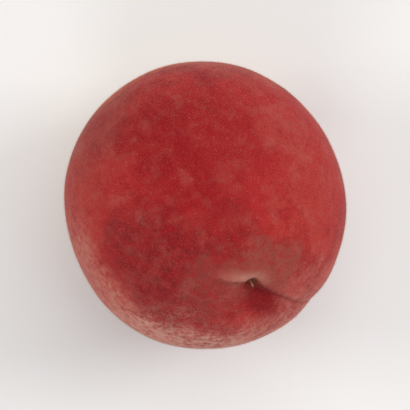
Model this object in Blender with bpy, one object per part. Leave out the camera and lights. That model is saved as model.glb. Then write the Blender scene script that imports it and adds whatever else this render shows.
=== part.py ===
"""A ripe peach, picked, at rest on the small flat that its own weight presses into the flesh.

The fruit is one piece. It is turned about its own axis, with the blossom end up and the stem hollow
below, and then shaped along its seam. Last it is tipped over, set down and centred over the origin.
In the fruit's own frame +Z runs to the blossom end and +X to the seam. All lengths are in metres.
"""

import math

import bmesh
import bpy
from mathutils import Matrix, Vector

# Driving dimensions of the turned body.
CHEEK_RADIUS = 0.0339  # half the width across the cheeks
BLOSSOM_HEIGHT = 0.0345  # widest ring to blossom end, without the dimple
STEM_HEIGHT = 0.0348  # widest ring to stem end, without the hollow
STEM_HOLLOW_DEPTH = 0.0105
STEM_HOLLOW_RADIUS = 0.0078
DIMPLE_DEPTH = 0.0011
DIMPLE_RADIUS = 0.0052
PIT_DEPTH = 0.0012  # the small pit where the flower stood
PIT_RADIUS = 0.0013

# The seam is a groove down one side, deepest at both ends.
SEAM_DEPTH_MIDDLE = 0.0004
SEAM_DEPTH_BLOSSOM = 0.0012
SEAM_DEPTH_STEM = 0.0024
SEAM_WIDTH_MIDDLE = 0.0042
SEAM_WIDTH_ENDS = 0.0034
# At the blossom end one lobe stands over the seam as a lip, which runs on past the pit at a bend.
LIP_HEIGHT = 0.0011
LIP_REACH = 0.0085
LIP_BREADTH = 0.0009
LIP_BEND = 0.42

# Broad swells and flats that keep the cheeks from being round: (place on the fruit, height, reach).
SWELLS = (
    (Vector((0.39, 0.92, 0.00)), -0.0004, 0.50),
    (Vector((-0.53, -0.84, -0.08)), -0.0010, 0.55),
    (Vector((0.11, -0.92, 0.37)), 0.0002, 0.40),
    (Vector((0.79, -0.08, 0.61)), 0.0003, 0.35),
    (Vector((-0.60, 0.60, -0.50)), 0.0005, 0.70),
)

# How the fruit lies.
TIP_OVER = math.radians(38.5)  # blossom end, away from straight up
HEADING = math.radians(-58.4)  # compass direction it tips towards, from +X
SEAM_TURN = math.radians(23.0)  # seam, turned about the fruit's own axis
REST_FLAT_DEPTH = 0.0012  # how far the flesh is pressed in where it rests

RINGS = 46
SEGMENTS = 60
POLE_CROWDING = 2.2  # how much closer the rings stand at the two ends
POLE_REACH = 0.009
SKIN_COLOUR = (0.36, 0.030, 0.026, 1.0)
SKIN_ROUGHNESS = 0.75


def smooth_step(value):
    """0 below 0, 1 above 1, with a soft run between."""
    held = min(max(value, 0.0), 1.0)
    return held * held * (3.0 - 2.0 * held)


def bell(distance, reach):
    """1 at no distance, falling away over the reach."""
    return math.exp(-((distance / reach) ** 2))


def profile_point(angle):
    """The turned body's outline at this angle from the blossom end, in the XZ plane."""
    radius = CHEEK_RADIUS * math.sin(angle)
    if angle < math.pi / 2:
        height = BLOSSOM_HEIGHT * math.cos(angle)
        height -= DIMPLE_DEPTH * bell(radius, DIMPLE_RADIUS)
        height -= PIT_DEPTH * bell(radius, PIT_RADIUS)
    else:
        height = STEM_HEIGHT * math.cos(angle)
        height += STEM_HOLLOW_DEPTH * bell(radius, STEM_HOLLOW_RADIUS)
    return Vector((radius, 0.0, height))


def spaced_profile():
    """RINGS + 1 points along the outline, from blossom end to stem end, closer together at both."""
    fine = [profile_point(math.pi * i / 4000) for i in range(4001)]
    travelled = [0.0]
    for before, after in zip(fine, fine[1:]):
        crowding = 1.0 + POLE_CROWDING * bell(after.x, POLE_REACH)
        travelled.append(travelled[-1] + (after - before).length * crowding)
    points = []
    at = 0
    for ring in range(RINGS + 1):
        wanted = travelled[-1] * ring / RINGS
        while at < len(fine) - 1 and travelled[at] < wanted:
            at += 1
        points.append(fine[at].copy())
    points[0].x = 0.0
    points[-1].x = 0.0
    return points


def turned_body():
    """The profile spun a full turn about the fruit's axis, closed at both poles."""
    bm = bmesh.new()
    points = spaced_profile()
    verts = [bm.verts.new(point) for point in points]
    edges = [bm.edges.new(pair) for pair in zip(verts, verts[1:])]
    bmesh.ops.spin(
        bm,
        geom=verts + edges,
        cent=(0.0, 0.0, 0.0),
        axis=(0.0, 0.0, 1.0),
        angle=2.0 * math.pi,
        steps=SEGMENTS,
        use_merge=True,
    )
    bmesh.ops.remove_doubles(bm, verts=bm.verts, dist=1e-6)
    bmesh.ops.recalc_face_normals(bm, faces=bm.faces)
    return bm


def seam_depth(place):
    """How far the seam pulls the skin in at this place. It fades out round the blossom end."""
    along = place.normalized().z
    blossom = max(along, 0.0) ** 4
    stem = max(-along, 0.0) ** 2
    middle = 1.0 - blossom - stem
    depth = SEAM_DEPTH_MIDDLE * middle + SEAM_DEPTH_BLOSSOM * blossom + SEAM_DEPTH_STEM * stem
    width = SEAM_WIDTH_MIDDLE * middle + SEAM_WIDTH_ENDS * (blossom + stem)
    from_seam = math.hypot(place.y, min(place.x, 0.0))
    return depth * bell(from_seam, width)


def lip_height(place):
    """How far the lobe beside the seam stands proud round the blossom end."""
    if place.z < 0.0:
        return 0.0
    beside = place.y - LIP_BEND * min(place.x, 0.0)
    from_pit = math.hypot(place.x, place.y)
    over_pit = 1.0 - bell(from_pit, PIT_RADIUS)
    return LIP_HEIGHT * over_pit * bell(from_pit, LIP_REACH) * smooth_step(beside / LIP_BREADTH)


def swell_height(place):
    """The sum of the broad swells and flats at this place."""
    direction = place.normalized()
    return sum(height * bell((direction - at.normalized()).length, reach) for at, height, reach in SWELLS)


def shape_skin(bm):
    """Moves each point along the skin's own normal by the seam, the lip and the swells."""
    bm.normal_update()
    moves = [
        vert.normal * (swell_height(vert.co) + lip_height(vert.co) - seam_depth(vert.co))
        for vert in bm.verts
    ]
    for vert, move in zip(bm.verts, moves):
        vert.co += move


def set_down(bm):
    """Tips the fruit over, centres it over the origin and lowers it until the flat is at height 0."""
    lie = (
        Matrix.Rotation(HEADING, 4, "Z")
        @ Matrix.Rotation(TIP_OVER, 4, "Y")
        @ Matrix.Rotation(SEAM_TURN, 4, "Z")
    )
    bmesh.ops.transform(bm, matrix=lie, verts=bm.verts)
    low = Vector(min(vert.co[axis] for vert in bm.verts) for axis in range(3))
    high = Vector(max(vert.co[axis] for vert in bm.verts) for axis in range(3))
    middle = (low + high) / 2.0
    bmesh.ops.translate(bm, vec=(-middle.x, -middle.y, -low.z - REST_FLAT_DEPTH), verts=bm.verts)


def press_flat(bm):
    """Cuts the fruit off at height 0 and closes the cut with one flat face."""
    bmesh.ops.bisect_plane(
        bm,
        geom=bm.verts[:] + bm.edges[:] + bm.faces[:],
        dist=1e-6,
        plane_co=(0.0, 0.0, 0.0),
        plane_no=(0.0, 0.0, -1.0),
        clear_outer=True,
    )
    rim = [edge for edge in bm.edges if edge.is_boundary]
    bmesh.ops.contextual_create(bm, geom=rim)
    for edge in rim:
        edge.smooth = False
    for vert in bm.verts:
        if abs(vert.co.z) < 1e-6:
            vert.co.z = 0.0
    bmesh.ops.recalc_face_normals(bm, faces=bm.faces)
    for face in bm.faces:
        face.smooth = True


def skin_material():
    """The plain red of the blushed skin."""
    material = bpy.data.materials.new("peach_skin")
    material.use_nodes = True
    shader = material.node_tree.nodes["Principled BSDF"]
    shader.inputs["Base Color"].default_value = SKIN_COLOUR
    shader.inputs["Roughness"].default_value = SKIN_ROUGHNESS
    shader.inputs["Metallic"].default_value = 0.0
    material.diffuse_color = SKIN_COLOUR
    return material


def make_peach():
    """The whole fruit as one object."""
    bm = turned_body()
    shape_skin(bm)
    set_down(bm)
    press_flat(bm)
    mesh = bpy.data.meshes.new("peach")
    bm.to_mesh(mesh)
    bm.free()
    mesh.materials.append(skin_material())
    peach = bpy.data.objects.new("peach", mesh)
    bpy.context.scene.collection.objects.link(peach)
    return peach


def clear_scene():
    for obj in list(bpy.data.objects):
        bpy.data.objects.remove(obj, do_unlink=True)


clear_scene()
make_peach()
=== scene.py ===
"""Finishes a ripe peach: its downy skin, the dried tip of its flower, its stalk scar and its fuzz.

The fruit's own frame has +Z at the blossom end and +X at the seam. Lengths are in metres.
"""

import math

import bmesh
import bpy
from bpy.props import FloatProperty, FloatVectorProperty, IntProperty, PointerProperty
from mathutils import Matrix, Vector, noise


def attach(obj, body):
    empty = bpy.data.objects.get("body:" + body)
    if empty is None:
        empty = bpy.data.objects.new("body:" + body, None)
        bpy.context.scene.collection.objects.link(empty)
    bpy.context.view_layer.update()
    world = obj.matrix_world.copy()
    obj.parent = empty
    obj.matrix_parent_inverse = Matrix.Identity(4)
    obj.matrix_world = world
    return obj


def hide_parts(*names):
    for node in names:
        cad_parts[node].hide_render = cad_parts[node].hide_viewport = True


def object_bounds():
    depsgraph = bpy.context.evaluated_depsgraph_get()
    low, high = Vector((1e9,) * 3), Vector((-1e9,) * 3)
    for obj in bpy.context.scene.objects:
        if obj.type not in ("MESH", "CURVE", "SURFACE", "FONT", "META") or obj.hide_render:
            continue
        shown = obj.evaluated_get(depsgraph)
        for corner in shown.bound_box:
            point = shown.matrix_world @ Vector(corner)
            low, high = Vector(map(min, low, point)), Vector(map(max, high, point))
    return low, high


bl_info = {
    "name": "Ripe Peach",
    "version": (1, 0, 0),
    "blender": (4, 5, 0),
    "location": "View3D > Sidebar > Peach",
    "description": "Builds a ripe peach with its fuzz, and a pale table to show it on",
    "category": "Add Mesh",
}

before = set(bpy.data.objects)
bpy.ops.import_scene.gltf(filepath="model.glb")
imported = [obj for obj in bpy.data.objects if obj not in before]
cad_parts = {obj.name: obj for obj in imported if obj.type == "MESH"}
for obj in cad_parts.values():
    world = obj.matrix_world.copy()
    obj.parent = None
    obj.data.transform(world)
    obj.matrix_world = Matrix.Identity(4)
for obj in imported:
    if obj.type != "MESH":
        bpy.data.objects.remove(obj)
CAD_LOW, CAD_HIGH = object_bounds()

# Rings and segments that set how the fruit lies, and those of the finished skin.
COARSE = (46, 60)
FINE = (340, 280)

# How much closer the rings stand near the two ends, and the finished skin's segments near the seam.
POLE_CROWDING = 2.2
FINE_POLE_CROWDING = 7.0
POLE_REACH = 0.009
SEAM_CROWDING = 0.62

# Broad swells and flats that keep the cheeks from being round: (place on the fruit, height, reach).
SWELLS = (
    (Vector((0.39, 0.92, 0.00)), -0.0004, 0.50),
    (Vector((-0.53, -0.84, -0.08)), -0.0010, 0.55),
    (Vector((0.11, -0.92, 0.37)), 0.0002, 0.40),
    (Vector((0.79, -0.08, 0.61)), 0.0003, 0.35),
    (Vector((-0.60, 0.60, -0.50)), 0.0005, 0.70),
)

# The seam at its two ends, and the width of its groove there and halfway along.
SEAM_DEPTH_BLOSSOM = 0.0012
SEAM_DEPTH_STEM = 0.0024
SEAM_WIDTH_MIDDLE = 0.0042
SEAM_WIDTH_ENDS = 0.0034
SEAM_LINE_DEPTH = 0.00022

# The lobe that stands proud beside the seam, round the blossom end.
LIP_HEIGHT = 0.0011
LIP_REACH = 0.0085
LIP_BREADTH = 0.0009
LIP_BEND = 0.42

# Hairs keep this far above the table, and their roots go this far into the skin.
HAIR_CLEARANCE = 0.0015
ROOT_DEPTH = 0.00004

# How many times each pattern repeats over the cheek's radius, and, for the relief, over a metre.
CLOUDS = 5.5
VEIL = 8.0
STREAKS = 16.0
MOTTLE = 22.0
TUFTS = 34.0
STIPPLE = 85.0
DENTS = 500.0
PORES = 2600.0

# The soft lights: (name, place from the fruit's middle, size, power as a share of its setting).
OVERHEAD_LIGHT = ("light_above", (0.36, 0.66, 1.50), 1.50, 1.0)
SIDE_LIGHTS = (
    ("light_left", (-1.35, 0.15, 0.90), 0.60, 0.8),
    ("light_right", (1.26, 0.36, 0.96), 0.60, 1.1),
    ("light_front", (-0.15, -1.35, 0.66), 0.60, 0.75),
)
LIGHT_COLOUR = (1.0, 0.985, 0.965)
TABLE_HALF = 3.0

# Tints of the skin: (colour, direction over the table, full within, none past, strength).
# Angles are in degrees.
TINTS = (
    # Brighter blush to the upper right: painted light, where the lamp falls strongest.
    ("scarlet", (0.62, 0.45, 0.64), 20.0, 50.0, 0.9),
    ("scarlet", (-0.70, -0.20, 0.68), 8.0, 34.0, 0.9),
    ("crimson", (-0.05, 0.45, 0.88), 12.0, 36.0, 0.7),
    ("maroon", (-0.30, -0.50, 0.81), 6.0, 38.0, 0.85),
    ("maroon", (0.20, -0.30, 0.93), 4.0, 26.0, 0.55),
    # Thin blush on the left and lower-left cheeks, partly painted sheen of the down lit at a
    # grazing angle.
    ("coral_and_sheen", (-0.93, -0.05, 0.36), 12.0, 34.0, 0.8),
    ("coral_and_sheen", (-0.78, -0.55, 0.30), 8.0, 36.0, 0.8),
    ("coral_and_sheen", (0.72, 0.00, 0.69), 4.0, 26.0, 0.8),
    # Duller, darker skin at the upper-left edge: painted shade.
    ("dusk", (-0.76, 0.56, 0.34), 4.0, 32.0, 0.5),
    ("dusk", (0.43, -0.43, 0.80), 0.0, 20.0, 0.9),
    # A painted highlight: the pale streak of a lamp's reflection down the left cheek.
    ("coral_and_sheen", (-0.82, 0.10, 0.56), 0.0, 26.0, 0.5),
    ("dusk", (0.12, -0.50, 0.85), 0.0, 22.0, 0.45),
)

# Where the down lies thick and pale, and, round the rim, painted sheen of the down lit at a grazing
# angle: (direction over the table, full within, none past, strength).
PALE_DOWN_AND_SHEEN_PATCHES = (
    ((0.70, -0.58, 0.42), 0.0, 24.0, 0.30),
    # A painted highlight on the upper-right cheek.
    ((0.56, 0.50, 0.66), 0.0, 20.0, 0.14),
    # Round the rim: pale down, partly painted sheen where the down catches grazing light.
    ((-0.76, -0.64, -0.06), 0.0, 54.0, 0.74),
    ((-0.12, -0.99, 0.00), 0.0, 54.0, 0.90),
    ((0.50, -0.85, -0.16), 0.0, 50.0, 0.58),
    ((0.95, 0.10, -0.30), 0.0, 42.0, 0.18),
    ((0.20, 0.90, -0.10), 0.0, 46.0, 0.22),
)


class PeachShape(bpy.types.PropertyGroup):
    """Sizes of the fruit and how it lies."""

    cheek_radius: FloatProperty(
        name="Cheek radius",
        description="Half the width across the cheeks",
        default=0.0339,
        unit="LENGTH",
    )
    blossom_height: FloatProperty(
        name="Blossom height",
        description="From the widest ring to the blossom end, without the dimple",
        default=0.0345,
        unit="LENGTH",
    )
    stem_height: FloatProperty(
        name="Stem height",
        description="From the widest ring to the stem end, without the hollow",
        default=0.0348,
        unit="LENGTH",
    )
    hollow_depth: FloatProperty(
        name="Stem hollow depth",
        description="How deep the stem hollow goes",
        default=0.0105,
        unit="LENGTH",
    )
    hollow_radius: FloatProperty(
        name="Stem hollow radius",
        description="How far the stem hollow reaches",
        default=0.0078,
        unit="LENGTH",
    )
    dimple_depth: FloatProperty(
        name="Dimple depth",
        description="Depth of the dimple at the blossom end",
        default=0.0011,
        unit="LENGTH",
    )
    dimple_radius: FloatProperty(
        name="Dimple radius",
        description="Reach of the dimple at the blossom end",
        default=0.0052,
        unit="LENGTH",
    )
    pit_depth: FloatProperty(
        name="Pit depth",
        description="Depth of the small pit where the flower stood",
        default=0.0012,
        unit="LENGTH",
    )
    pit_radius: FloatProperty(
        name="Pit radius",
        description="Reach of the small pit where the flower stood",
        default=0.0013,
        unit="LENGTH",
    )
    seam_depth: FloatProperty(
        name="Seam depth",
        description="Depth of the seam halfway along it",
        default=0.0004,
        unit="LENGTH",
    )
    tip_over: FloatProperty(
        name="Tip over",
        description="How far the blossom end leans from straight up",
        default=math.radians(38.5),
        subtype="ANGLE",
    )
    heading: FloatProperty(
        name="Heading",
        description="Compass direction that the blossom end leans towards, from +X",
        default=math.radians(-58.4),
        subtype="ANGLE",
    )
    seam_turn: FloatProperty(
        name="Seam turn",
        description="The seam's place, turned about the fruit's own axis",
        default=math.radians(23.0),
        subtype="ANGLE",
    )
    rest_depth: FloatProperty(
        name="Rest depth",
        description="How far the flesh is pressed in where it rests",
        default=0.0012,
        unit="LENGTH",
    )


class PeachColours(bpy.types.PropertyGroup):
    """Colours of the skin, the fuzz and the dry parts."""

    crimson: FloatVectorProperty(
        name="Crimson",
        description="The blush where the sun reached",
        size=3,
        default=(0.29, 0.005, 0.009),
        subtype="COLOR",
    )
    maroon: FloatVectorProperty(
        name="Maroon",
        description="The darkest of the blush",
        size=3,
        default=(0.175, 0.007, 0.010),
        subtype="COLOR",
    )
    scarlet: FloatVectorProperty(
        name="Scarlet",
        description="The bright blush",
        size=3,
        default=(0.42, 0.018, 0.018),
        subtype="COLOR",
    )
    # The thin blush, made paler with painted sheen of the down at the cheeks' edges; it also paints
    # a highlight streak.
    coral_and_sheen: FloatVectorProperty(
        name="Coral",
        description="The thin blush on the cheeks",
        size=3,
        default=(0.42, 0.036, 0.028),
        subtype="COLOR",
    )
    orange: FloatVectorProperty(
        name="Orange",
        description="Where the blush thins over the ground",
        size=3,
        default=(0.58, 0.125, 0.035),
        subtype="COLOR",
    )
    amber: FloatVectorProperty(
        name="Amber",
        description="The ground colour, round the stem end",
        size=3,
        default=(0.72, 0.40, 0.105),
        subtype="COLOR",
    )
    # Pale down; the same colour paints sheen round the rim and highlights on the cheek and the
    # raised lobe.
    pale_down_and_sheen: FloatVectorProperty(
        name="Bloom",
        description="The pale down on the lower side",
        size=3,
        default=(0.48, 0.20, 0.15),
        subtype="COLOR",
    )
    # The palest down; the same colour paints sheen along the low rim and small glints.
    palest_down_sheen_and_glint: FloatVectorProperty(
        name="Frost",
        description="The palest tufts of down",
        size=3,
        default=(0.62, 0.40, 0.33),
        subtype="COLOR",
    )
    dusk: FloatVectorProperty(
        name="Dusk",
        description="The dull skin round the blossom end",
        size=3,
        default=(0.27, 0.055, 0.040),
        subtype="COLOR",
    )
    # Bare deep red skin, darkened with the painted shade of the hollow.
    hollow: FloatVectorProperty(
        name="Hollow",
        description="The bare skin where the seam starts",
        size=3,
        default=(0.19, 0.003, 0.006),
        subtype="COLOR",
    )
    # Dry skin: in the blossom-end slit it also paints the shadow of the fold, and it darkens the
    # skin round the stalk scar.
    russet: FloatVectorProperty(
        name="Russet",
        description="The dry skin in the creases",
        size=3,
        default=(0.10, 0.045, 0.022),
        subtype="COLOR",
    )
    straw: FloatVectorProperty(
        name="Straw",
        description="The dried flower tip and stalk scar",
        size=3,
        default=(0.42, 0.27, 0.14),
        subtype="COLOR",
    )
    down: FloatVectorProperty(
        name="Down",
        description="The hairs of the fuzz",
        size=3,
        default=(0.53, 0.26, 0.20),
        subtype="COLOR",
    )


class PeachFuzz(bpy.types.PropertyGroup):
    """The hairs that stand on the skin."""

    short_hairs: IntProperty(
        name="Short hairs",
        description="How many short hairs",
        default=48000,
        min=0,
        max=49000,
    )
    middle_hairs: IntProperty(
        name="Middle hairs",
        description="How many hairs of middle length",
        default=48000,
        min=0,
        max=49000,
    )
    long_hairs: IntProperty(
        name="Long hairs",
        description="How many long hairs",
        default=36000,
        min=0,
        max=49000,
    )
    short_length: FloatProperty(
        name="Short length",
        description="Mean length of a short hair",
        default=0.00030,
        unit="LENGTH",
    )
    long_length: FloatProperty(
        name="Long length", description="Mean length of a long hair", default=0.00050, unit="LENGTH"
    )
    thickness: FloatProperty(
        name="Thickness", description="Width of a hair at its root", default=0.000022, unit="LENGTH"
    )
    lean: FloatProperty(
        name="Lean",
        description="The most that a hair leans over",
        default=math.radians(38.0),
        subtype="ANGLE",
    )


class PeachStage(bpy.types.PropertyGroup):
    """The table, the lights and the camera."""

    table: FloatVectorProperty(
        name="Table",
        description="Colour of the table",
        size=3,
        default=(0.83, 0.83, 0.83),
        subtype="COLOR",
    )
    fill: FloatProperty(
        name="Fill",
        description="How much of the picture the fruit fills",
        default=0.70,
        min=0.1,
        max=0.95,
    )
    lens: FloatProperty(
        name="Lens",
        description="Focal length of the camera",
        default=180.0,
        subtype="DISTANCE_CAMERA",
    )
    sky: FloatProperty(name="Sky", description="Brightness all round", default=0.40)
    overhead: FloatProperty(
        name="Overhead",
        description="Power of the big soft light above",
        default=10.4,
        unit="POWER",
    )
    side: FloatProperty(
        name="Side",
        description="Power of each small soft light",
        default=8.2,
        unit="POWER",
    )


def smooth_step(value):
    """0 below 0, 1 above 1, with a soft run between."""
    held = min(max(value, 0.0), 1.0)
    return held * held * (3.0 - 2.0 * held)


def bell(distance, reach):
    """1 at no distance, falling away over the reach."""
    return math.exp(-((distance / reach) ** 2))


def profile_point(shape, angle):
    """The turned body's outline at this angle from the blossom end, in the XZ plane."""
    radius = shape.cheek_radius * math.sin(angle)
    if angle < math.pi / 2:
        height = shape.blossom_height * math.cos(angle)
        height -= shape.dimple_depth * bell(radius, shape.dimple_radius)
        height -= shape.pit_depth * bell(radius, shape.pit_radius)
    else:
        height = shape.stem_height * math.cos(angle)
        height += shape.hollow_depth * bell(radius, shape.hollow_radius)
    return Vector((radius, 0.0, height))


def spaced_profile(shape, rings, crowding):
    """Points along the outline, from blossom end to stem end, closer together at both."""
    fine = [profile_point(shape, math.pi * i / 8000) for i in range(8001)]
    travelled = [0.0]
    for before, after in zip(fine, fine[1:]):
        crowd = 1.0 + crowding * bell(after.x, POLE_REACH)
        travelled.append(travelled[-1] + (after - before).length * crowd)
    points = []
    at = 0
    for ring in range(rings + 1):
        wanted = travelled[-1] * ring / rings
        while at < len(fine) - 1 and travelled[at] < wanted:
            at += 1
        points.append(fine[at].copy())
    points[0].x = 0.0
    points[-1].x = 0.0
    return points


def spun(points, segments):
    """These profile points spun a full turn about +Z, closed at both ends, facing out."""
    bm = bmesh.new()
    verts = [bm.verts.new(point) for point in points]
    edges = [bm.edges.new(pair) for pair in zip(verts, verts[1:])]
    bmesh.ops.spin(
        bm,
        geom=verts + edges,
        cent=(0.0, 0.0, 0.0),
        axis=(0.0, 0.0, 1.0),
        angle=2.0 * math.pi,
        steps=segments,
        use_merge=True,
    )
    bmesh.ops.remove_doubles(bm, verts=bm.verts, dist=1e-7)
    bmesh.ops.recalc_face_normals(bm, faces=bm.faces)
    return bm


def crowd_towards_seam(bm):
    """Slides the meridians round the axis so that they stand closest at the seam."""
    for vert in bm.verts:
        out = math.hypot(vert.co.x, vert.co.y)
        angle = math.atan2(vert.co.y, vert.co.x)
        angle -= SEAM_CROWDING * math.sin(angle)
        vert.co.x = out * math.cos(angle)
        vert.co.y = out * math.sin(angle)


def seam_depth(shape, place):
    """How far the seam pulls the skin in at this place. It fades out round the blossom end."""
    along = place.normalized().z
    blossom = max(along, 0.0) ** 4
    stem = max(-along, 0.0) ** 2
    middle = 1.0 - blossom - stem
    depth = shape.seam_depth * middle + SEAM_DEPTH_BLOSSOM * blossom + SEAM_DEPTH_STEM * stem
    width = SEAM_WIDTH_MIDDLE * middle + SEAM_WIDTH_ENDS * (blossom + stem)
    from_seam = math.hypot(place.y, min(place.x, 0.0))
    return depth * bell(from_seam, width)


def lip_height(shape, place):
    """How far the lobe beside the seam stands proud round the blossom end."""
    if place.z < 0.0:
        return 0.0
    beside = place.y - LIP_BEND * min(place.x, 0.0)
    from_pit = math.hypot(place.x, place.y)
    over_pit = 1.0 - bell(from_pit, shape.pit_radius)
    return LIP_HEIGHT * over_pit * bell(from_pit, LIP_REACH) * smooth_step(beside / LIP_BREADTH)


def swell_height(place):
    """The sum of the broad swells and flats at this place."""
    direction = place.normalized()
    return sum(
        height * bell((direction - at.normalized()).length, reach) for at, height, reach in SWELLS
    )


def shape_skin(shape, bm):
    """Moves each point along the skin's own normal by the seam, the lip and the swells."""
    bm.normal_update()
    moves = [
        vert.normal
        * (swell_height(vert.co) + lip_height(shape, vert.co) - seam_depth(shape, vert.co))
        for vert in bm.verts
    ]
    for vert, move in zip(bm.verts, moves):
        vert.co += move


def lying_place(shape):
    """The matrix that takes the fruit from its own frame to where it lies on the table."""
    bm = spun(spaced_profile(shape, COARSE[0], POLE_CROWDING), COARSE[1])
    shape_skin(shape, bm)
    lie = (
        Matrix.Rotation(shape.heading, 4, "Z")
        @ Matrix.Rotation(shape.tip_over, 4, "Y")
        @ Matrix.Rotation(shape.seam_turn, 4, "Z")
    )
    bmesh.ops.transform(bm, matrix=lie, verts=bm.verts)
    low = Vector(min(vert.co[axis] for vert in bm.verts) for axis in range(3))
    high = Vector(max(vert.co[axis] for vert in bm.verts) for axis in range(3))
    bm.free()
    middle = (low + high) / 2.0
    return Matrix.Translation((-middle.x, -middle.y, -low.z - shape.rest_depth)) @ lie


def undulation(place):
    """The faint unevenness of the flesh under the skin."""
    broad = noise.noise(place * 75.0)
    close = noise.noise(place * 240.0 + Vector((7.0, 3.0, 1.0)))
    return 0.00016 * broad + 0.00004 * close


def apex_relief(place):
    """The deep start of the seam at the pit, the brow over it, and the puckers that run into it."""
    if place.z < 0.0:
        return 0.0
    from_pit = math.hypot(place.x, place.y)
    brow = 0.00035 * bell(place.x + 0.0036, 0.0030) * bell(place.y - 0.0030, 0.0022)
    around = math.atan2(place.y, place.x)
    pucker = math.sin(around * 13.0 + 3.0 * noise.noise(place * 500.0))
    puckers = 0.00005 * pucker * bell(from_pit - 0.0022, 0.0016)
    across = place.y + 0.0008
    width = 0.0013 if across > 0.0 else 0.0036
    along = smooth_step((place.x + 0.001) / 0.004) * bell(max(place.x - 0.005, 0.0), 0.0060)
    return brow + puckers - 0.0012 * along * bell(across, width)


def seam_line(place):
    """1 at the bottom of the fine line that runs down the seam, fading beside it."""
    if place.x < 0.0:
        return 0.0
    from_line = abs(place.y - 0.00025 * noise.noise(place * 130.0))
    return smooth_step((place.x - 0.005) / 0.006) * bell(from_line, 0.00055)


def fine_relief(place):
    """How far the finished skin stands off the plain form at this place."""
    return undulation(place) + apex_relief(place) - SEAM_LINE_DEPTH * seam_line(place)


def press_flat(bm):
    """Cuts the fruit off at the table and closes the cut with one flat face."""
    bmesh.ops.bisect_plane(
        bm,
        geom=bm.verts[:] + bm.edges[:] + bm.faces[:],
        dist=1e-7,
        plane_co=(0.0, 0.0, 0.0),
        plane_no=(0.0, 0.0, -1.0),
        clear_outer=True,
    )
    rim = [edge for edge in bm.edges if edge.is_boundary]
    bmesh.ops.contextual_create(bm, geom=rim)
    for vert in bm.verts:
        if abs(vert.co.z) < 1e-6:
            vert.co.z = 0.0
    bmesh.ops.recalc_face_normals(bm, faces=bm.faces)
    for face in bm.faces:
        face.smooth = True
    for edge in rim:
        edge.smooth = False


def put_in_order(bm):
    """Numbers points by place and faces by their points, so that each run grows the same hairs."""
    by_place = sorted(bm.verts, key=lambda vert: [round(part * 1e7) for part in vert.co])
    for rank, vert in enumerate(by_place):
        vert.index = rank
    bm.verts.sort()
    by_points = sorted(bm.faces, key=lambda face: sorted(vert.index for vert in face.verts))
    for rank, face in enumerate(by_points):
        face.index = rank
    bm.faces.sort()


def finished_piece(name, bm, material):
    """The mesh as a piece that rides with the fruit."""
    mesh = bpy.data.meshes.new(name)
    bm.to_mesh(mesh)
    bm.free()
    mesh.materials.append(material)
    piece = bpy.data.objects.new(name, mesh)
    bpy.context.scene.collection.objects.link(piece)
    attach(piece, "root")
    return piece


class Wire:
    """A shader socket that adds, subtracts and multiplies like a number."""

    def __init__(self, finish, socket):
        self.finish = finish
        self.socket = socket

    def math(self, operation, *values):
        inputs = dict(enumerate(values))
        return self.finish.node("ShaderNodeMath", {"operation": operation}, inputs)

    def __add__(self, other):
        return self.math("ADD", self, other)

    def __radd__(self, other):
        return self.math("ADD", other, self)

    def __sub__(self, other):
        return self.math("SUBTRACT", self, other)

    def __rsub__(self, other):
        return self.math("SUBTRACT", other, self)

    def __mul__(self, other):
        return self.math("MULTIPLY", self, other)

    def __rmul__(self, other):
        return self.math("MULTIPLY", other, self)


class Finish:
    """A material in the making."""

    def __init__(self, name, roughness):
        self.material = bpy.data.materials.new(name)
        self.material.use_nodes = True
        self.tree = self.material.node_tree
        self.shader = self.tree.nodes["Principled BSDF"]
        self.set("Roughness", roughness)
        self.set("Specular IOR Level", 0.12)

    def set(self, name, value):
        """Gives the shader's socket a value, or feeds it from a wire."""
        self.feed(self.shader.inputs[name], value)

    def feed(self, socket, value):
        if isinstance(value, Wire):
            self.tree.links.new(value.socket, socket)
        elif hasattr(socket.default_value, "__len__") and len(socket.default_value) == 4:
            socket.default_value = (*value, 1.0)
        else:
            socket.default_value = value

    def node(self, kind, settings=None, inputs=None, output=0):
        """Any node: its settings, then its sockets' values or wires. Gives back one output."""
        made = self.tree.nodes.new(kind)
        for name, value in (settings or {}).items():
            setattr(made, name, value)
        for name, value in (inputs or {}).items():
            self.feed(made.inputs[name], value)
        return Wire(self, made.outputs[output])

    def mix(self, factor, first, second):
        """The first colour, turning into the second as the factor goes from 0 to 1."""
        return self.node(
            "ShaderNodeMix",
            {"data_type": "RGBA", "clamp_factor": True},
            {0: factor, 6: first, 7: second},
            output=2,
        )

    def between(self, value, low, high):
        """0 where the value is at the low mark, 1 at the high mark, with a soft run between."""
        return self.node(
            "ShaderNodeMapRange",
            {"interpolation_type": "SMOOTHSTEP"},
            {"Value": value, "From Min": low, "From Max": high},
        )

    def grain(self, vector, scale, detail=3.0, roughness=0.55, distortion=0.0):
        """Cloudy noise from 0 to 1."""
        return self.node(
            "ShaderNodeTexNoise",
            None,
            {
                "Vector": vector,
                "Scale": scale,
                "Detail": detail,
                "Roughness": roughness,
                "Distortion": distortion,
            },
        )

    def mark(self, name):
        """A value kept on each point of the piece."""
        return self.node("ShaderNodeAttribute", {"attribute_name": name}, None, output="Fac")


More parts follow.
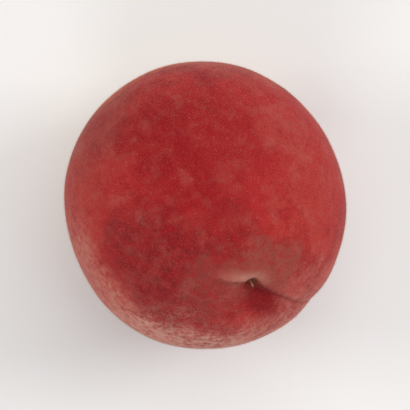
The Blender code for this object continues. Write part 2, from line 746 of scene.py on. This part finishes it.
def skin_finish(place, shape, colours):
    """Crimson blush over an amber ground, with mottling, streaks, pale down and dry creases, and
    with painted highlights, sheen and shade.
    """
    skin = Finish("peach_skin", 0.62)

    def tone(name):
        return tuple(getattr(colours, name))

    where = skin.node("ShaderNodeTexCoord", None, None, output="Object")
    fruit = skin.node(
        "ShaderNodeMapping",
        {"vector_type": "TEXTURE"},
        {
            "Vector": where,
            "Location": place.translation,
            "Rotation": place.to_euler(),
            "Scale": (shape.cheek_radius,) * 3,
        },
    )
    drift = skin.node(
        "ShaderNodeTexNoise",
        None,
        {"Vector": fruit, "Scale": 2.2, "Detail": 4.0, "Roughness": 0.6},
        output="Color",
    )
    drift = skin.node(
        "ShaderNodeVectorMath", {"operation": "SUBTRACT"}, {0: drift, 1: (0.5, 0.5, 0.5)}
    )
    drifted = skin.node(
        "ShaderNodeVectorMath",
        {"operation": "MULTIPLY_ADD"},
        {0: drift, 1: (0.55, 0.55, 0.55), 2: fruit},
    )
    drifted = skin.node("ShaderNodeVectorMath", {"operation": "NORMALIZE"}, {0: drifted})
    turned_back = place.to_3x3().inverted()

    def patch(direction, full, none):
        """1 within the angle full of this direction over the table, 0 past the angle none."""
        at = (turned_back @ Vector(direction)).normalized()
        closeness = skin.node(
            "ShaderNodeVectorMath",
            {"operation": "DOT_PRODUCT"},
            {0: drifted, 1: at},
            output="Value",
        )
        return skin.between(closeness, math.cos(math.radians(none)), math.cos(math.radians(full)))

    # Streaks run from end to end, because the fruit swelled that way.
    streak_space = skin.node(
        "ShaderNodeVectorMath", {"operation": "MULTIPLY"}, {0: fruit, 1: (1.0, 1.0, 0.12)}
    )
    streaks = skin.grain(streak_space, STREAKS, 5.0, 0.65)
    clouds = skin.grain(fruit, CLOUDS, 5.0, 0.6, 0.4)
    mottle = skin.grain(fruit, MOTTLE, 5.0, 0.68, 0.15)
    stipple = skin.grain(fruit, STIPPLE, 4.0, 0.7)
    tufts = skin.node(
        "ShaderNodeTexVoronoi",
        {"feature": "F1"},
        {"Vector": fruit, "Scale": TUFTS, "Randomness": 1.0},
        output="Distance",
    )

    ragged = (clouds - 0.5) * 2.0 + (mottle - 0.5) * 2.6 + (stipple - 0.5) * 1.6

    def broken(mask):
        """The mask with its edge and its inside broken up by clouds, mottling and stipple."""
        return skin.between(mask * (ragged + 1.0), 0.06, 1.05)

    colour = skin.mix(skin.between(clouds, 0.40, 0.62), tone("crimson"), tone("scarlet"))
    for tint, direction, full, none, strength in TINTS:
        spread = broken(patch(direction, full, none))
        colour = skin.mix(spread * strength, colour, tone(tint))

    # Fine stippling of the blush.
    colour = skin.mix(skin.between(stipple, 0.50, 0.64) * 0.55, colour, tone("maroon"))
    colour = skin.mix(skin.between(1.0 - stipple, 0.50, 0.70) * 0.35, colour, tone("scarlet"))

    # The ground colour comes through round the stem end, by way of orange, with streaks of blush.
    stem_side = patch(-place.col[2].to_3d(), 8.0, 86.0)
    ground = stem_side + (streaks - 0.5) * 0.7 + (mottle - 0.5) * 0.5
    colour = skin.mix(skin.between(ground, 0.22, 0.62), colour, tone("orange"))
    colour = skin.mix(skin.between(ground, 0.50, 1.05), colour, tone("amber"))
    thin = skin.between(1.0 - ground, -0.15, 0.60)
    flush = skin.between(stipple * 0.45 + streaks * 0.55, 0.47, 0.62) * thin
    colour = skin.mix(flush * 0.6, colour, tone("scarlet"))
    colour = skin.mix(skin.between(mottle, 0.50, 0.66) * stem_side * 0.35, colour, tone("orange"))

    # The down lies thick and pale on the lower sides, with the blush between its small clouds;
    # round the rim it is partly painted sheen of the down lit at a grazing angle, and one patch is
    # a painted highlight.
    grit = skin.between(mottle * 0.55 + stipple * 0.45, 0.42, 0.58)
    for direction, full, none, strength in PALE_DOWN_AND_SHEEN_PATCHES:
        spread = broken(patch(direction, full, none)) * (grit * 0.62 + 0.38)
        colour = skin.mix(spread * strength, colour, tone("pale_down_and_sheen"))

    # Painted sheen of the down along the low rim, over its palest tufts.
    low_rim_sheen_and_down = broken(patch((-0.18, -0.97, 0.14), 0.0, 36.0)) * grit
    colour = skin.mix(low_rim_sheen_and_down * 0.38, colour, tone("palest_down_sheen_and_glint"))

    # The down shows pale in small clouds all over, on the raised lobe's edge as a painted
    # highlight, and in scattered tufts with painted glints.
    haze = skin.between(mottle * 0.5 + clouds * 0.5, 0.49, 0.68) * skin.between(stipple, 0.35, 0.65)
    colour = skin.mix(haze * 0.10, colour, tone("pale_down_and_sheen"))
    veil = skin.between(skin.grain(fruit, VEIL, 6.0, 0.66, 0.12), 0.47, 0.72)
    colour = skin.mix(veil * 0.17, colour, tone("pale_down_and_sheen"))
    colour = skin.mix(skin.mark("lip") * 0.85, colour, tone("pale_down_and_sheen"))
    # Scattered pale tufts of down, with painted glints on them.
    tuft_and_glint = skin.between(0.15 - tufts, 0.0, 0.10) * skin.between(clouds, 0.45, 0.55)
    colour = skin.mix(tuft_and_glint * 0.40, colour, tone("palest_down_sheen_and_glint"))

    # Streaks darken the blush a little.
    colour = skin.mix(skin.between(streaks, 0.52, 0.75) * 0.40, colour, tone("maroon"))

    colour = skin.mix(skin.mark("seam") * 0.45, colour, tone("maroon"))

    # The start of the seam is bare and deep red, painted darker with the shade of the hollow, and
    # its bottom is dry and brown, painted darker with the shadow of the fold. Round the stalk scar
    # the skin is darker brown too.
    colour = skin.mix(skin.mark("hollow") * 0.9, colour, tone("hollow"))
    colour = skin.mix(skin.mark("crease") * 0.85, colour, tone("russet"))
    skin.set("Base Color", colour)
    skin.set("Roughness", 0.55 + stipple * 0.2)

    skin.set("Sheen Weight", 0.055)
    skin.set("Sheen Roughness", 0.45)
    skin.set("Sheen Tint", (1.0, 0.86, 0.80))
    skin.set("Subsurface Weight", 0.12)
    skin.set("Subsurface Radius", (1.0, 0.25, 0.12))
    skin.set("Subsurface Scale", 0.002)

    pores = skin.grain(where, PORES, 3.0, 0.6)
    dents = skin.grain(where, DENTS, 4.0, 0.6)
    relief = skin.node(
        "ShaderNodeBump",
        None,
        {"Height": pores * 0.35 + dents, "Distance": 0.00022, "Strength": 0.8},
    )
    skin.set("Normal", relief)
    return skin.material


def mark_creases(bm, placed_back):
    """Keeps on each point how much it lies in a crease, the bare hollow, the raised lobe's edge or
    the seam; the hollow and the blossom-end crease carry painted shade, the lobe's edge a painted
    highlight.
    """
    crease = bm.verts.layers.float.new("crease")
    hollow = bm.verts.layers.float.new("hollow")
    lip = bm.verts.layers.float.new("lip")
    seam = bm.verts.layers.float.new("seam")
    for vert in bm.verts:
        place = placed_back @ vert.co
        vert[crease] = 0.0
        vert[hollow] = 0.0
        vert[lip] = 0.0
        vert[seam] = seam_line(place)
        if place.z < 0.0:
            from_scar = math.hypot(place.x, place.y)
            # Darker brown round the stalk scar, at the bottom of the stem hollow.
            vert[crease] = bell(from_scar, 0.0032)
            continue
        from_pit = math.hypot(place.x, place.y)
        beside = place.y - LIP_BEND * min(place.x, 0.0)
        ragged = 0.35 * noise.noise(place * 900.0)
        # The slit under the raised lobe: dry skin, painted darker with the fold's shadow.
        dry = bell(beside - 0.0002, 0.0006) * bell(from_pit, 0.0042)
        vert[crease] = min(1.0, (0.9 + ragged) * dry)
        # The bare start of the seam, painted darker with the shade of the hollow.
        start = bell(place.x - 0.0060, 0.0060) * bell(place.y + 0.0027, 0.0034)
        vert[hollow] = min(1.0, 1.4 * start)
        # The raised lobe's edge where it catches the light, painted as a highlight in the pale
        # down's colour.
        lit = smooth_step((beside - 0.0005) / 0.0009) * bell(max(beside - 0.0022, 0.0), 0.0020)
        vert[lip] = min(1.0, (1.0 + ragged) * lit * bell(place.x + 0.0026, 0.0048))


class PEACH_OT_skin(bpy.types.Operator):
    """Turns and shapes the downy skin, which stands for the fruit's plain solid"""

    bl_idname = "peach.skin"
    bl_label = "Skin"

    def execute(self, context):
        shape = context.scene.peach_shape
        place = lying_place(shape)
        bm = spun(spaced_profile(shape, FINE[0], FINE_POLE_CROWDING), FINE[1])
        crowd_towards_seam(bm)
        shape_skin(shape, bm)
        bm.normal_update()
        moves = [vert.normal * fine_relief(vert.co) for vert in bm.verts]
        for vert, move in zip(bm.verts, moves):
            vert.co += move
        bmesh.ops.transform(bm, matrix=place, verts=bm.verts)
        press_flat(bm)
        put_in_order(bm)
        mark_creases(bm, place.inverted())
        finish = skin_finish(place, shape, context.scene.peach_colours)
        skin = finished_piece("peach_skin", bm, finish)
        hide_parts("peach")
        return {"FINISHED"}


class PEACH_OT_flower_tip(bpy.types.Operator):
    """Makes the dried tip of the flower, which stands in the pit at the blossom end"""

    bl_idname = "peach.flower_tip"
    bl_label = "Flower Tip"

    def execute(self, context):
        shape = context.scene.peach_shape
        colours = context.scene.peach_colours
        place = lying_place(shape)
        outline = (
            (0.0, 0.0016),
            (0.00022, 0.0015),
            (0.00026, 0.0011),
            (0.00017, 0.0006),
            (0.0003, 0.0),
            (0.0, -0.0002),
        )
        bm = spun([Vector((radius, 0.0, height)) for radius, height in outline], 12)
        bmesh.ops.subdivide_edges(bm, edges=bm.edges, cuts=1, use_grid_fill=True, smooth=0.6)
        for vert in bm.verts:
            bend = vert.co.z * vert.co.z * 220.0
            vert.co.x += bend
            vert.co.y -= bend * 0.6
            vert.co += vert.co.normalized() * 0.00006 * noise.noise(vert.co * 4000.0)
        foot = shape.blossom_height - shape.dimple_depth - shape.pit_depth - 0.0003
        bmesh.ops.transform(bm, matrix=place @ Matrix.Translation((0.0, 0.0, foot)), verts=bm.verts)
        bmesh.ops.recalc_face_normals(bm, faces=bm.faces)
        for face in bm.faces:
            face.smooth = True
        dry = Finish("dried_flower", 0.8)
        where = dry.node("ShaderNodeTexCoord", None, None, output="Object")
        age = dry.grain(where, 2500.0, 3.0)
        dry.set("Base Color", dry.mix(age, tuple(colours.straw), tuple(colours.russet)))
        finished_piece("flower_tip", bm, dry.material)
        return {"FINISHED"}


class PEACH_OT_stalk_scar(bpy.types.Operator):
    """Makes the fibrous scar that the stalk left at the bottom of the stem hollow"""

    bl_idname = "peach.stalk_scar"
    bl_label = "Stalk Scar"

    def execute(self, context):
        shape = context.scene.peach_shape
        colours = context.scene.peach_colours
        place = lying_place(shape)
        outline = (
            (0.0, 0.0004),
            (0.0006, 0.0001),
            (0.0012, 0.0003),
            (0.0017, 0.0006),
            (0.0022, 0.0004),
            (0.0026, -0.0002),
            (0.0018, -0.0008),
            (0.0, -0.0009),
        )
        bm = spun([Vector((radius, 0.0, height)) for radius, height in outline], 40)
        bmesh.ops.subdivide_edges(bm, edges=bm.edges, cuts=2, use_grid_fill=True, smooth=0.5)
        for vert in bm.verts:
            around = math.atan2(vert.co.y, vert.co.x)
            out = math.hypot(vert.co.x, vert.co.y)
            fibres = 0.00010 * math.sin(around * 19.0) * smooth_step(out / 0.0012)
            vert.co.z += fibres + 0.00014 * noise.noise(vert.co * 1400.0)
        foot = -shape.stem_height + shape.hollow_depth - 0.0001
        turn = Matrix.Translation((0.0, 0.0, foot)) @ Matrix.Rotation(math.pi, 4, "X")
        bmesh.ops.transform(bm, matrix=place @ turn, verts=bm.verts)
        bmesh.ops.recalc_face_normals(bm, faces=bm.faces)
        for face in bm.faces:
            face.smooth = True
        dry = Finish("stalk_scar", 0.85)
        where = dry.node("ShaderNodeTexCoord", None, None, output="Object")
        age = dry.between(dry.grain(where, 1300.0, 4.0, 0.65), 0.3, 0.7)
        dry.set("Base Color", dry.mix(age, tuple(colours.straw), tuple(colours.russet)))
        relief = dry.node(
            "ShaderNodeBump", None, {"Height": age, "Distance": 0.0002, "Strength": 0.5}
        )
        dry.set("Normal", relief)
        finished_piece("stalk_scar", bm, dry.material)
        return {"FINISHED"}


def hair_field(name, skin, hairs, length, thickness, lean, seed):
    """A coat of loose hairs on the skin, each a closed three-sided spike, as one mesh."""
    area = sum(face.area for face in skin.data.polygons)
    group = bpy.data.node_groups.new(name, "GeometryNodeTree")
    group.interface.new_socket("Geometry", in_out="INPUT", socket_type="NodeSocketGeometry")
    group.interface.new_socket("Geometry", in_out="OUTPUT", socket_type="NodeSocketGeometry")

    def node(kind, settings=None, inputs=None):
        made = group.nodes.new(kind)
        for setting, value in (settings or {}).items():
            setattr(made, setting, value)
        for socket, value in (inputs or {}).items():
            if isinstance(value, bpy.types.NodeSocket):
                group.links.new(value, made.inputs[socket])
            else:
                made.inputs[socket].default_value = value
        return made

    start = node("NodeGroupInput")
    height = node("ShaderNodeSeparateXYZ", None, {0: node("GeometryNodeInputPosition").outputs[0]})
    clear = node(
        "FunctionNodeCompare",
        {"operation": "GREATER_THAN"},
        {0: height.outputs["Z"], 1: HAIR_CLEARANCE},
    )
    scatter = node(
        "GeometryNodeDistributePointsOnFaces",
        {"distribute_method": "RANDOM"},
        {
            "Mesh": start.outputs[0],
            "Selection": clear.outputs[0],
            "Density": hairs / area,
            "Seed": seed,
        },
    )
    spike = node(
        "GeometryNodeMeshCone",
        {"fill_type": "NGON"},
        {"Vertices": 3, "Radius Top": 0.0, "Radius Bottom": thickness / 2.0, "Depth": length},
    )
    size = node(
        "FunctionNodeRandomValue",
        {"data_type": "FLOAT_VECTOR"},
        {"Min": (0.8, 0.8, 0.45), "Max": (1.2, 1.2, 1.5), "Seed": seed + 1},
    )
    planted = node(
        "GeometryNodeInstanceOnPoints",
        None,
        {
            "Points": scatter.outputs["Points"],
            "Instance": spike.outputs["Mesh"],
            "Rotation": scatter.outputs["Rotation"],
            "Scale": size.outputs[0],
        },
    )
    tilt = node(
        "FunctionNodeRandomValue",
        {"data_type": "FLOAT_VECTOR"},
        {"Min": (-lean, -lean, -3.14), "Max": (lean, lean, 3.14), "Seed": seed + 2},
    )
    leaning = node(
        "GeometryNodeRotateInstances",
        None,
        {"Instances": planted.outputs[0], "Rotation": tilt.outputs[0], "Local Space": True},
    )
    rooted = node(
        "GeometryNodeTranslateInstances",
        None,
        {
            "Instances": leaning.outputs[0],
            "Translation": (0.0, 0.0, -ROOT_DEPTH),
            "Local Space": True,
        },
    )
    real = node("GeometryNodeRealizeInstances", None, {"Geometry": rooted.outputs[0]})
    node("NodeGroupOutput", None, {0: real.outputs[0]})

    base = bpy.data.objects.new(name + "_base", skin.data)
    bpy.context.scene.collection.objects.link(base)
    base.modifiers.new("hairs", "NODES").node_group = group
    settled = base.evaluated_get(bpy.context.evaluated_depsgraph_get())
    mesh = bpy.data.meshes.new_from_object(settled)
    bpy.data.objects.remove(base)
    bpy.data.node_groups.remove(group)
    return mesh


class PEACH_OT_fuzz(bpy.types.Operator):
    """Grows the three coats of fuzz on the skin"""

    bl_idname = "peach.fuzz"
    bl_label = "Fuzz"

    def execute(self, context):
        fuzz = context.scene.peach_fuzz
        skin = bpy.data.objects["peach_skin"]
        down = Finish("peach_down", 0.55)
        down.set("Base Color", tuple(context.scene.peach_colours.down))
        coats = (
            ("fuzz_short", fuzz.short_hairs, fuzz.short_length, 11),
            ("fuzz_middle", fuzz.middle_hairs, (fuzz.short_length + fuzz.long_length) / 2.0, 17),
            ("fuzz_long", fuzz.long_hairs, fuzz.long_length, 29),
        )
        for name, hairs, length, seed in coats:
            mesh = hair_field(name, skin, hairs, length, fuzz.thickness, fuzz.lean, seed)
            if not mesh.polygons:
                raise RuntimeError("no hair grew for " + name)
            bm = bmesh.new()
            bm.from_mesh(mesh)
            bpy.data.meshes.remove(mesh)
            finished_piece(name, bm, down.material)
        return {"FINISHED"}


def soft_light(recipe, middle, power):
    """A square area light, turned to the middle of the fruit."""
    name, offset, size, share = recipe
    data = bpy.data.lights.new(name, "AREA")
    data.size = size
    data.energy = power * share
    data.color = LIGHT_COLOUR
    light = bpy.data.objects.new(name, data)
    light.location = middle + Vector(offset)
    light.rotation_euler = (-Vector(offset)).to_track_quat("-Z", "Y").to_euler()
    bpy.context.scene.collection.objects.link(light)


class PEACH_OT_stage(bpy.types.Operator):
    """Sets the table, the soft lights and the camera, which looks straight down"""

    bl_idname = "peach.stage"
    bl_label = "Stage"

    def execute(self, context):
        stage = context.scene.peach_stage
        scene = context.scene
        bm = bmesh.new()
        bmesh.ops.create_grid(bm, x_segments=1, y_segments=1, size=TABLE_HALF)
        mesh = bpy.data.meshes.new("table_top")
        bm.to_mesh(mesh)
        bm.free()
        plain = Finish("table_top", 0.7)
        plain.set("Base Color", tuple(stage.table))
        mesh.materials.append(plain.material)
        table = bpy.data.objects.new("table_top", mesh)
        scene.collection.objects.link(table)

        world = bpy.data.worlds.new("studio")
        world.use_nodes = True
        nodes = world.node_tree.nodes
        sky = nodes["Background"]
        sky.inputs["Color"].default_value = (1.0, 1.0, 1.0, 1.0)
        sky.inputs["Strength"].default_value = stage.sky
        backdrop = nodes.new("ShaderNodeBackground")
        backdrop.inputs["Color"].default_value = (*stage.table, 1.0)
        seen = nodes.new("ShaderNodeLightPath")
        choice = nodes.new("ShaderNodeMixShader")
        link = world.node_tree.links.new
        link(seen.outputs["Is Camera Ray"], choice.inputs["Fac"])
        link(sky.outputs[0], choice.inputs[1])
        link(backdrop.outputs[0], choice.inputs[2])
        link(choice.outputs[0], nodes["World Output"].inputs["Surface"])
        scene.world = world
        scene.view_settings.view_transform = "Standard"

        middle = (CAD_LOW + CAD_HIGH) / 2.0
        soft_light(OVERHEAD_LIGHT, middle, stage.overhead)
        for side_light in SIDE_LIGHTS:
            soft_light(side_light, middle, stage.side)

        width = max(CAD_HIGH.x - CAD_LOW.x, CAD_HIGH.y - CAD_LOW.y) / stage.fill
        data = bpy.data.cameras.new("camera")
        data.lens = stage.lens
        data.sensor_width = 36.0
        distance = width / 2.0 / math.tan(data.angle / 2.0)
        data.clip_start = 0.01
        data.clip_end = 10.0
        camera = bpy.data.objects.new("camera", data)
        camera.location = (middle.x, middle.y, middle.z + distance)
        scene.collection.objects.link(camera)
        scene.camera = camera
        return {"FINISHED"}


class PEACH_PT_panel(bpy.types.Panel):
    """The pieces of the peach and its stage, with their settings"""

    bl_label = "Peach"
    bl_idname = "PEACH_PT_panel"
    bl_space_type = "VIEW_3D"
    bl_region_type = "UI"
    bl_category = "Peach"

    def draw(self, context):
        groups = (
            (context.scene.peach_shape, (PEACH_OT_skin, PEACH_OT_flower_tip, PEACH_OT_stalk_scar)),
            (context.scene.peach_colours, ()),
            (context.scene.peach_fuzz, (PEACH_OT_fuzz,)),
            (context.scene.peach_stage, (PEACH_OT_stage,)),
        )
        for settings, operators in groups:
            box = self.layout.box()
            for name in settings.bl_rna.properties.keys():
                if name not in {"rna_type", "name"}:
                    box.prop(settings, name)
            for operator in operators:
                box.operator(operator.bl_idname)


CLASSES = (
    PeachShape,
    PeachColours,
    PeachFuzz,
    PeachStage,
    PEACH_OT_skin,
    PEACH_OT_flower_tip,
    PEACH_OT_stalk_scar,
    PEACH_OT_fuzz,
    PEACH_OT_stage,
    PEACH_PT_panel,
)


def register():
    for cls in CLASSES:
        bpy.utils.register_class(cls)
    bpy.types.Scene.peach_shape = PointerProperty(type=PeachShape)
    bpy.types.Scene.peach_colours = PointerProperty(type=PeachColours)
    bpy.types.Scene.peach_fuzz = PointerProperty(type=PeachFuzz)
    bpy.types.Scene.peach_stage = PointerProperty(type=PeachStage)


def unregister():
    del bpy.types.Scene.peach_stage
    del bpy.types.Scene.peach_fuzz
    del bpy.types.Scene.peach_colours
    del bpy.types.Scene.peach_shape
    for cls in reversed(CLASSES):
        bpy.utils.unregister_class(cls)


def main():
    register()
    bpy.ops.peach.skin()
    bpy.ops.peach.flower_tip()
    bpy.ops.peach.stalk_scar()
    bpy.ops.peach.fuzz()
    bpy.ops.peach.stage()


if __name__ == "__main__":
    main()
